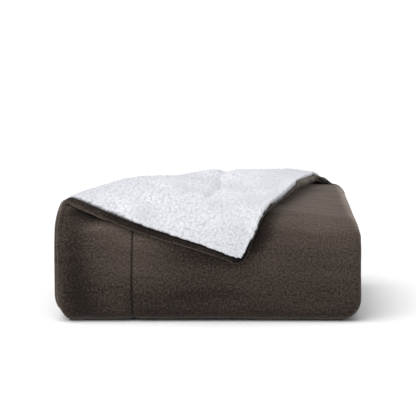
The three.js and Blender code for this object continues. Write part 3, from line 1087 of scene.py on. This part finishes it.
@dataclass
class PlushPanel:
    """The brown plush face with its hem turned round the edge."""

    cloth: FoldedCloth
    finish: BrushedPlush = BrushedPlush()
    # Marks on the flat cloth: nap tone, and painted light and shade that follow how light falls on the fold.
    marks: tuple[NapAndShadeMark, ...] = (
        # Darker down the left end of the front.
        NapAndShadeMark(1250.0, 352.0, 17.0, 62.0, -1.0),
        NapAndShadeMark(1236.0, 392.0, 26.0, 30.0, -1.0),
        # Painted shadow under the hem, where the turned corner stands off the front at the left.
        NapAndShadeMark(1222.0, 284.0, 17.0, 9.0, -3.2),
        NapAndShadeMark(1248.0, 278.0, 13.0, 7.0, -2.0),
        # Lighter on the upper left of the front: painted highlight where it turns up towards the light, and
        # lighter patches of nap tone.
        NapAndShadeMark(1216.0, 305.0, 26.0, 9.0, 1.3),
        NapAndShadeMark(1172.0, 345.0, 42.0, 30.0, 0.6),
        NapAndShadeMark(1190.0, 312.0, 36.0, 16.0, 0.6),
        NapAndShadeMark(1158.0, 322.0, 34.0, 14.0, 0.9),
        # Darker patches of nap tone low on the front, and painted shade below the corner's tip.
        NapAndShadeMark(1090.0, 392.0, 76.0, 15.0, -1.0),
        NapAndShadeMark(1075.0, 341.0, 34.0, 12.0, -0.6),
        # On the right: painted shade along the line where the top rounds over into the front, a painted
        # highlight on the top, and one on the rounded shoulder below it.
        NapAndShadeMark(905.0, 226.0, 120.0, 14.0, -0.4),
        NapAndShadeMark(880.0, 165.0, 60.0, 60.0, 0.5),
        NapAndShadeMark(905.0, 278.0, 100.0, 24.0, 1.3),
        # Painted shade at the foot of the front, darker towards the floor.
        NapAndShadeMark(1065.0, 445.0, 420.0, 40.0, -1.0),
        NapAndShadeMark(1065.0, 436.0, 420.0, 17.0, -2.2),
    )
    # Painted contact shadow beside the turned corner's end edge: the edge's path on the panel, where the
    # shadow starts and ends along it, how far it reaches across, its width and its strength.
    corner_shadow_v: tuple[float, ...] = (80.0, 95.0, 125.0, 168.0, 197.0, 239.0, 272.0, 293.0, 313.0, 330.0)
    corner_shadow_u: tuple[float, ...] = (888.0, 901.0, 919.0, 938.0, 952.0, 963.0, 974.0, 981.0, 988.0, 1000.0)
    corner_shadow_ends: tuple[float, float, float, float] = (50.0, 90.0, 318.0, 345.0)
    corner_shadow_width: float = 13.0
    corner_shadow_to_u: float = 1010.0
    corner_shadow_strength: float = -1.8
    # Painted shade inside the corner's roll near the end edge, where light hardly reaches.
    mouth_turn: tuple[float, float, float, float] = (0.02, 0.15, 0.7, 1.0)
    mouth_v: tuple[float, float] = (30.0, 70.0)
    mouth_shade: float = -2.8
    closed_seam_u: tuple[float, float] = (960.0, 1040.0)
    closed_seam_v: tuple[float, float] = (120.0, 160.0)
    closed_share: float = 0.85
    # Painted shade in the sewn groove.
    groove_shade: float = -2.2
    # Painted shade on the hem of the turned corner's end edge, which faces away from the light: how far along
    # the cloth it reaches, and its strength.
    shaded_end_hem: float = 12.0
    end_hem_shade: float = -2.8
    face_gap: float = 1.3
    hem_reach: float = 4.4
    hem_swell: float = 0.7
    hem_wrap: float = 142.0
    hem_steps: int = 16
    hem_lump: float = 0.8
    seam_depth: float = 2.3
    seam_width: float = 1.3
    pucker_depth: float = 1.0
    pucker_width: float = 7.0

    def columns(self) -> Array:
        """Columns: close on the outer panel, whose face shows most."""
        a = self.cloth.across
        return spaced(
            [
                Stretch(a.left_fold_u, 11.0), Stretch(a.under_u, 1.8), Stretch(a.right_fold_u, 34.0),
                Stretch(a.outer_u, 2.4), Stretch(a.width, 3.6),
            ],
            (a.width - self.cloth.side_seam_insets[-1],),
        )

    def rows(self) -> Array:
        """Rows: close from the end edge to the foot of the front, and wide where the layers hide.

        Returns:
            The places along the flat cloth.
        """
        start = self.cloth.lengthwise.pieces()[:, 0]
        steps = [3.8, 3.6, 14.0, 7.0, 43.0, 7.0, 43.0, 7.0, 45.0, 10.0, 28.0]
        ends = [*start[1:], self.cloth.length]
        stretches = [Stretch(end, step) for end, step in zip(ends, steps)]
        return spaced(stretches, (self.cloth.end_seam,))

    def open_face(self, u: Array, v: Array) -> Array:
        """Where the plush lies open, on the top, the front and the back, with a smooth step at each border.

        Args:
            u: place across the flat cloth.
            v: place along it.

        Returns:
            1 in the open, and 0 between layers and on the floor.
        """
        start = self.cloth.lengthwise.pieces()[:, 0]
        outer = smooth(0.0, 20.0, u - self.cloth.across.outer_u + 30.0)
        front = 1 - smooth(-25.0, -5.0, v - start[2])
        back = smooth(10.0, 30.0, v - start[3]) * (1 - smooth(-30.0, -10.0, v - start[4]))
        return outer * np.maximum(front, back)

    def stitch_place(self, u: Array, v: Array) -> Array:
        """Place along the nearest side of the border seam."""
        return np.where(np.abs(u - self.cloth.width / 2) > self.cloth.width / 2 - 140.0, v, u)

    def open_seam(self, u: Array, v: Array) -> Array:
        """1 where the sewn groove shows, less beside the corner's fold, where the nap has closed over it."""
        closed = (1 - smooth(*self.closed_seam_u, u)) * (1 - smooth(*self.closed_seam_v, v))
        return 1 - self.closed_share * closed

    def relief(self, u: Array, v: Array) -> Array:
        """How the plush surface stands out: two soft noises, less bell-shaped sewn groove and pucker.

        Args:
            u: place across the flat cloth.
            v: place along it.

        Returns:
            The height against an even surface.
        """
        distance = self.cloth.seam_distance(u, v)
        along = self.stitch_place(u, v)
        stitch = (0.8 + 0.2 * np.cos(2 * math.pi * along / 7.0)) * self.open_seam(u, v)
        groove = self.seam_depth * stitch * np.exp(-((distance / self.seam_width) ** 2))
        pucker = self.pucker_depth * self.open_seam(u, v) * np.exp(-((distance / self.pucker_width) ** 2))
        pucker = pucker * (1 + 0.6 * unevenness(along / 16.0, distance / 30.0, 11))
        soft = 0.9 * unevenness(u / 95.0, v / 60.0, 1) + 0.25 * unevenness(u / 17.0, v / 8.0, 2)
        return (soft - 0.4 - groove - pucker) * self.open_face(u, v)

    def nap(self, u: Array, v: Array) -> Array:
        """How the plush's colour is darkened or lightened, about -1 for dark to 1 for light.

        It is the sum of bell-shaped marks from a table, which hold nap tone and painted shade and highlight,
        and of painted shade in the sewn groove, in the mouth of the roll and beside the turned corner's edge,
        where shadow falls.

        Args:
            u: place across the flat cloth.
            v: place along it.

        Returns:
            The nap tone with the painted shade and highlight.
        """
        distance = self.cloth.seam_distance(u, v)
        tone_and_shade = self.groove_shade * np.exp(-((distance / self.seam_width) ** 2)) * self.open_seam(u, v)
        tone_and_shade = tone_and_shade + self.mouth_shade * self.mouth(u, v) + self.corner_shadow_strength * self.corner_shadow(u, v)
        for mark in self.marks:
            beside, beyond = (u - mark.u) / mark.half_width, (v - mark.v) / mark.half_length
            tone_and_shade = tone_and_shade + mark.tone_and_shade * np.exp(-(beside**2) - beyond**2)
        return tone_and_shade

    def mouth(self, u: Array, v: Array) -> Array:
        """1 inside the corner's roll near the end edge, where it opens like a mouth, and 0 elsewhere."""
        return between(self.mouth_turn, self.cloth.turned(u, v)) * (1 - smooth(*self.mouth_v, v))

    def corner_shadow(self, u: Array, v: Array) -> Array:
        """Painted contact shadow where the turned corner's end edge lies on the panel, fading by a bell curve
        to its right.

        Args:
            u: place across the flat cloth.
            v: place along it.

        Returns:
            1 at the corner's edge, down to 0 beside it.
        """
        aside = np.maximum(np.interp(v, self.corner_shadow_v, self.corner_shadow_u) - u, 0.0)
        under = (self.cloth.turned(u, v) <= 0.0) * (u < self.corner_shadow_to_u)
        return np.exp(-((aside / self.corner_shadow_width) ** 2)) * between(self.corner_shadow_ends, v) * under

    def hem_shading(self, angle: float, free: Array, mouth: Array) -> Array:
        """Painted light and shade on the hem: painted shade towards the white side, in both creases and in the
        roll's mouth, and a painted highlight where a turned hem faces out.

        Args:
            angle: degrees from straight outwards, positive towards the brown side.
            free: how far the edge is turned over, from 0 to 1.
            mouth: 1 in the roll's mouth.

        Returns:
            The painted shade and highlight for each point of the ring.
        """
        white, brown = np.array(-angle), np.array(angle)
        # Painted shade in the creases beside the hem and in the roll's mouth.
        crease = 2.4 * free * smooth(65.0, 115.0, brown) + 2.8 * mouth * smooth(0.0, 60.0, brown)
        # Painted highlight where a turned hem faces out into the light.
        facing = 0.5 * free * (1 - smooth(0.0, 55.0, np.abs(brown - 15.0)))
        # Painted shade on the hem's side next to the white pile, which shades it.
        upper = 1.6 * free * smooth(0.0, 60.0, white) + 2.4 * smooth(80.0, 120.0, white)
        return facing - upper - crease

    def build(self) -> bpy.types.Object:
        """Builds the closed panel: plush face, hem and sewn face.

        The hem is a padded tube round the edge. At an angle a from straight outwards its surface is at an
        inset of reach (1 - cos a) and a height of swell sin a, from the stitched crease on the plush side
        to the one on the white side. Its UV map runs on from the face by the length of that arc.

        Returns:
            The dressed piece.
        """
        cloth = self.cloth
        mesh = PanelMesh(cloth, self.columns(), self.rows())
        ring = border_of(len(mesh.rows), len(mesh.columns))
        u, v = (part.ravel()[ring] for part in mesh.flat())
        lump = unevenness(u / 13.0, v / 13.0, 3) + 0.4 * unevenness(u / 8.0, v / 8.0, 4)
        turned = cloth.turned(u, v)
        free = smooth(0.4, 1.2, turned)
        # Painted shade on the laid part of the corner's end edge hem.
        shaded_end_hem = smooth(0.5, 0.85, turned) * (v < self.shaded_end_hem)
        mouth = self.mouth(u, v)
        swell = cloth.top + self.hem_swell * free * (1 + 0.6 * lump)

        wrap = math.radians(self.hem_wrap)
        crease = self.hem_reach * (1 - math.cos(wrap))
        face_edge = crease + self.face_gap
        face_u, face_v = mesh.flat(face_edge)
        relief = self.relief(face_u, face_v)
        start = mesh.add_face(face_u, face_v, cloth.top + relief, self.nap(face_u, face_v), False)
        last = start + ring
        for angle in np.linspace(wrap, -wrap, self.hem_steps):
            bulge = self.hem_lump * lump * max(math.cos(angle), 0.0)
            ring_u, ring_v = cloth.drawn_in(u, v, self.hem_reach * (1 - math.cos(angle)) - bulge)
            unrolled = cloth.drawn_in(u, v, face_edge - self.hem_reach * (wrap - angle))
            # The hem's colour: lumpy tone at random, with the painted light and shade.
            shade = 0.3 * lump + self.hem_shading(math.degrees(angle), free, mouth) + self.end_hem_shade * shaded_end_hem
            new = mesh.add_points(ring_u, ring_v, swell * math.sin(angle), shade, unrolled)
            here = new + np.arange(len(ring))
            mesh.join(last, here)
            last = here
        sewn_u, sewn_v = mesh.flat(crease + 0.4)
        sewn = cloth.top - cloth.plush + np.minimum(relief, 0.0)
        start = mesh.add_face(sewn_u, sewn_v, sewn, 0.0, True)
        mesh.join(last, start + ring)
        piece = mesh.build("plush_panel")
        piece.data.materials.append(self.finish.material())
        return piece


@dataclass
class SherpaPanel:
    """The white panel's knitted base and its pile where it lies between the layers."""

    cloth: FoldedCloth
    finish: CurlySherpa = CurlySherpa()
    recess: float = 0.6
    valley_depth: float = 4.2
    valley_width: float = 6.0
    seam_reach: float = 18.0
    seam_dip: float = 2.2

    def columns(self) -> Array:
        """Columns: close on the outer panel, where its corner is turned over."""
        a = self.cloth.across
        return spaced([
            Stretch(a.left_fold_u, 20.0), Stretch(a.under_u, 2.0), Stretch(a.right_fold_u, 34.0),
            Stretch(a.outer_u, 3.5), Stretch(a.width, 5.0),
        ])

    def rows(self) -> Array:
        """Rows: close on the turned corner and in the bends.

        Returns:
            The places along the flat cloth.
        """
        start = self.cloth.lengthwise.pieces()[:, 0]
        steps = [5.0, 6.0, 30.0, 9.0, 43.0, 6.0, 43.0, 6.0, 45.0, 9.0, 28.0]
        ends = [*start[1:], self.cloth.length]
        return spaced([Stretch(end, step) for end, step in zip(ends, steps)])

    def valley(self, u: Array, v: Array) -> Array:
        """The soft valley that the border seam draws into the open white side: a bell curve.

        Args:
            u: place across the flat cloth.
            v: place along it.

        Returns:
            Its depth.
        """
        distance = self.cloth.seam_distance(u, v)
        shown = smooth(0.3, 0.9, self.cloth.turned(u, v)) * (1 - 0.75 * smooth(138.0, 180.0, v))
        return self.valley_depth * np.exp(-((distance / self.valley_width) ** 2)) * shown

    def build(self) -> bpy.types.Object:
        """Builds the closed panel inside the hem. Its upper face keeps below the groove of the border seam.

        Returns:
            The dressed piece.
        """
        cloth = self.cloth
        mesh = PanelMesh(cloth, self.columns(), self.rows())
        ring = border_of(len(mesh.rows), len(mesh.columns))
        u, v = mesh.flat(cloth.hem_width + cloth.seam_gap)
        sewn = cloth.top - cloth.plush - cloth.sewn_gap
        shown = smooth(0.05, 0.4, cloth.turned(u, v))
        pile = -cloth.top + self.recess * shown + self.valley(u, v)
        under_seam = 1 - smooth(self.seam_reach - 8.0, self.seam_reach, cloth.seam_distance(u, v))
        upper = mesh.add_face(u, v, sewn - 1.5 - self.seam_dip * under_seam, 0.55, False)
        lower = mesh.add_face(u, v, pile, 0.55, True)
        mesh.join(upper + ring, lower + ring)
        piece = mesh.build("sherpa_panel")
        piece.data.materials.append(self.finish.material())
        return piece


@dataclass
class SherpaPile:
    """The curly pile on the turned corner, where it stands open in nubs."""

    cloth: FoldedCloth
    base: SherpaPanel
    finish: CurlySherpa = CurlySherpa()
    pitch: float = 0.86
    nub: float = 4.5
    pile: float = 3.7
    edge_round: float = 2.9
    wall: float = 5.0
    foot: float = 4.0
    end_places: tuple[float, ...] = (0.0, 20.0, 45.0, 150.0, 222.0, 252.0)
    end_insets: tuple[float, ...] = (4.6, 3.8, 0.4, 0.8, 1.6, 5.4)
    side_places: tuple[float, ...] = (0.0, 20.0, 110.0, 180.0)
    side_insets: tuple[float, ...] = (7.2, 6.6, 6.8, 8.8)
    edge_reach: float = 40.0
    bend: float = 1.6
    least_turn: float = 0.03
    open_turn: tuple[float, float] = (0.06, 0.34)

    def insets(self, beside: Array, beyond: Array) -> tuple[Array, Array]:
        """How far inside the long edge and the end edge the pile stops, eased through their tables."""
        side = eased(beyond, self.side_places, self.side_insets)
        return side, eased(beside, self.end_places, self.end_insets)

    def relief(self, u: Array, v: Array) -> Array:
        """Nubs of the pile: big round lumps, smaller curls half as high, and soft waves.

        Args:
            u: place across the skin.
            v: place along it.

        Returns:
            The relief, from 0 to 1.
        """
        bent_u = u + self.bend * unevenness(u / 9.0, v / 9.0, 21)
        bent_v = v + self.bend * unevenness(u / 9.0, v / 9.0, 22)
        big = nubs(bent_u / self.nub, bent_v / self.nub, 23)
        small = nubs(bent_u / (0.45 * self.nub), bent_v / (0.45 * self.nub), 24)
        soft = 0.5 + 0.5 * unevenness(u / 28.0, v / 28.0, 25)
        return 0.53 * np.maximum(big, 0.22) + 0.25 * np.maximum(small, 0.1) + 0.22 * soft

    def unrolled(self, inside: Array) -> Array:
        """Place on the pile's skin, which runs on down the side of its edge, by the distance inside it."""
        return inside - self.wall * (1 - smooth(0.0, self.edge_round, inside))

    def ragged(self, along: Array, inside: Array, seed: int) -> Array:
        """How far the pile's edge draws in at a place: less where a nub stands out.

        Args:
            along: place along the edge.
            inside: distance inside it.
            seed: picks the nubs.

        Returns:
            The distance that the edge draws in, below 0 where it bulges.
        """
        nub = nubs(along / self.nub, self.unrolled(inside) / self.nub + 9.0, seed)
        stray = 0.6 * unevenness(along / 7.0, 0.0 * along, seed + 1)
        return (0.9 - 1.6 * nub) * (1 - smooth(2.0, 9.0, inside)) + stray

    def flat(self, beside: Array, beyond: Array) -> tuple[Array, Array]:
        """Places on the flat cloth by their distances inside the pile's own ragged edges.

        Args:
            beside: distance inside the long edge.
            beyond: distance inside the end edge.

        Returns:
            u and v on the flat cloth.
        """
        side, end = self.insets(beside, beyond)
        side = side + self.ragged(beyond, beside, 26)
        end = end + self.ragged(beside, beyond, 28)
        u = self.cloth.width - beside - side * np.maximum(1 - beside / self.edge_reach, 0.0)
        return u, beyond + end * np.maximum(1 - beyond / self.edge_reach, 0.0)

    def steps(self, far: float) -> Array:
        """Rows or columns of the skin: even, and closer together at its edge."""
        return np.concatenate([[0.0, 0.3, 0.6, 1.0, 1.5], np.arange(2.1, far, self.pitch)])

    def build(self) -> bpy.types.Object:
        """Builds the pile as a skin over the white panel, that runs down into the hem at the corner's edges.

        Its height is the pile's length times the relief, times the square root profile of a round edge:
        sqrt(1 - (1 - d / r)^2) at a distance d inside the edge. The skin begins in the roll, where it comes
        out of the cloth by a smooth step.

        Returns:
            The dressed piece.
        """
        cloth, across = self.cloth, self.cloth.across
        depth = cloth.corner.right[1] - cloth.corner.left[1]
        beside, beyond = np.meshgrid(self.steps(cloth.width - across.outer_u), self.steps(depth))
        u, v = self.flat(beside, beyond)
        turned = cloth.turned(u, v)
        inside = np.minimum(beside, beyond)
        rise = np.clip(inside / self.edge_round, 0.0, 1.0)
        profile = np.sqrt(np.clip(1 - (1 - rise) ** 2, 0.0, 1.0))
        shown = smooth(*self.open_turn, turned)
        skin_u, skin_v = cloth.width - self.unrolled(beside), self.unrolled(beyond)
        relief = self.relief(skin_u, skin_v)
        valley = self.base.valley(u, v)
        lift = self.pile * (0.2 + 0.8 * relief) * profile * shown - 0.6 * (1 - shown)
        to_edge = np.minimum(v, cloth.width - u)
        hem = 1.6 * (1 - smooth(cloth.hem_width - 3.0, cloth.hem_width + 2.0, to_edge))
        tucked = self.foot * (1 - smooth(0.0, 1.5, inside))
        height = -cloth.top + valley - lift - (0.4 + hem * smooth(0.0, 0.6, rise) - tucked) * shown

        squares = grid_faces(*turned.shape, 0, False)
        whole = np.all(turned.ravel()[squares] > self.least_turn, axis=1)
        used, faces = np.unique(squares[whole], return_inverse=True)
        points = cloth.place(u, v, height).reshape(-1, 3)[used]
        flat_places = np.stack([skin_u.ravel(), skin_v.ravel()], axis=1)[used] * MM
        # Painted light and shade on the pile: painted shade in the creases between nubs, a painted highlight
        # at its edge, and painted shadow, dark brown, where the edge meets the hem.
        edge_highlight = 0.1 * (1 - smooth(1.5, 3.5, inside))
        shade = (smooth(0.35, 1.1, inside) * (0.22 + 0.5 * relief + edge_highlight)).ravel()[used]
        piece = make_object("sherpa_pile", points, faces.reshape(-1, 4), flat_places, shade)
        piece.data.materials.append(self.finish.material())
        return piece


@dataclass
class Blanket:
    """The folded blanket: its panels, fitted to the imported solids."""

    cloth: FoldedCloth = FoldedCloth()

    def build(self) -> list[bpy.types.Object]:
        """Returns:
            The pieces.
        """
        plush = PlushPanel(self.cloth).build()
        panel = SherpaPanel(self.cloth)
        sherpa = panel.build()
        pile = SherpaPile(self.cloth, panel).build()
        for piece in (plush, sherpa, pile):
            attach(piece, "root")
        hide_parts("plush_face")
        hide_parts("sherpa_back")
        flat = (self.cloth.width * MM, self.cloth.length * MM)
        return [plush, sherpa, pile]


# The studio


@dataclass
class Studio:
    """A white floor, soft light from above with a little from the left, and the camera."""

    distance: float = 3.0
    seen_from: float = 11.0
    tilt: float = 9.32
    focal: float = 185.6
    aim: tuple[float, float, float] = (0.0, -170.4575, 80.0)
    floor_half: float = 12.0
    below: tuple[float, float, float, float] = (0.30, 0.30, 0.30, 1.0)
    above: tuple[float, float, float, float] = (0.50, 0.50, 0.51, 1.0)
    horizon: float = 0.12

    def floor(self) -> bpy.types.Object:
        """The floor, a wide square at height 0.

        Returns:
            The floor.
        """
        half = self.floor_half
        corners = [(-half, -half, 0), (half, -half, 0), (half, half, 0), (-half, half, 0)]
        mesh = bpy.data.meshes.new("floor")
        mesh.from_pydata(corners, [], [(0, 1, 2, 3)])
        board = bpy.data.objects.new("floor", mesh)
        bpy.context.scene.collection.objects.link(board)
        board.data.materials.append(PaintedFloor().material())
        return board

    def sun(self, name: str, strength: float, elevation: float, azimuth: float, spread: float) -> None:
        """A broad soft light.

        Args:
            name: its name.
            strength: watts for each square metre.
            elevation: degrees above the floor.
            azimuth: degrees from the front towards the left.
            spread: its angular size in degrees.
        """
        light = bpy.data.lights.new(name, "SUN")
        light.energy = strength
        light.angle = math.radians(spread)
        lamp = bpy.data.objects.new(name, light)
        bpy.context.scene.collection.objects.link(lamp)
        lamp.rotation_euler = (math.radians(90 - elevation), 0.0, -math.radians(azimuth))

    def world(self) -> None:
        """Even light all round, weaker from below, and plain white behind the object."""
        world = bpy.data.worlds.new("studio")
        bpy.context.scene.world = world
        world.use_nodes = True
        tree = world.node_tree
        tree.nodes.clear()
        place = add_node(tree, "ShaderNodeTexCoord", {}, {})
        height = add_node(tree, "ShaderNodeSeparateXYZ", {}, {"Vector": place.outputs["Generated"]})
        ramp = add_node(tree, "ShaderNodeValToRGB", {}, {"Fac": height.outputs["Z"]})
        ramp.color_ramp.elements[0].position = 0.0
        ramp.color_ramp.elements[0].color = self.below
        ramp.color_ramp.elements[1].position = self.horizon
        ramp.color_ramp.elements[1].color = self.above
        path = add_node(tree, "ShaderNodeLightPath", {}, {})
        direct = {"Factor": path.outputs["Is Camera Ray"]}
        seen = add_node(tree, "ShaderNodeMix", {"data_type": "RGBA"}, direct)
        colours = [socket for socket in seen.inputs if socket.type == "RGBA"]
        tree.links.new(ramp.outputs["Color"], colours[0])
        colours[1].default_value = (1.0, 1.0, 1.0, 1.0)
        result = next(socket for socket in seen.outputs if socket.type == "RGBA")
        light = add_node(tree, "ShaderNodeBackground", {"Strength": 1.0}, {"Color": result})
        add_node(tree, "ShaderNodeOutputWorld", {}, {"Surface": light.outputs["Background"]})

    def camera(self) -> None:
        """The camera, where it looks at the front fold from a little above."""
        lens = bpy.data.cameras.new("camera")
        lens.sensor_width = 36.0
        lens.lens = self.focal
        lens.clip_end = 100.0
        camera = bpy.data.objects.new("camera", lens)
        bpy.context.scene.collection.objects.link(camera)
        raised = math.radians(self.seen_from)
        x, y, z = (value * MM for value in self.aim)
        camera.location = (x, y - self.distance * math.cos(raised), z + self.distance * math.sin(raised))
        camera.rotation_euler = (math.radians(90 - self.tilt), 0.0, 0.0)
        bpy.context.scene.camera = camera

    def build(self) -> None:
        """Builds the studio."""
        self.floor()
        self.sun("key", strength=2.55, elevation=61.0, azimuth=51.0, spread=66.0)
        self.sun("fill", strength=0.4, elevation=38.0, azimuth=5.0, spread=120.0)
        self.world()
        self.camera()
        view = bpy.context.scene.view_settings
        view.view_transform = "Standard"
        view.look = "None"
        view.exposure = 0.0
        view.gamma = 1.0


def main() -> None:
    """Builds the studio and the blanket."""
    logging.basicConfig(level=logging.INFO, format="%(message)s")
    Studio().build()
    for piece in Blanket().build():
        triangles = sum(len(face.vertices) - 2 for face in piece.data.polygons)
        LOG.info("%s: %d triangles", piece.name, triangles)


if __name__ == "__main__":
    main()
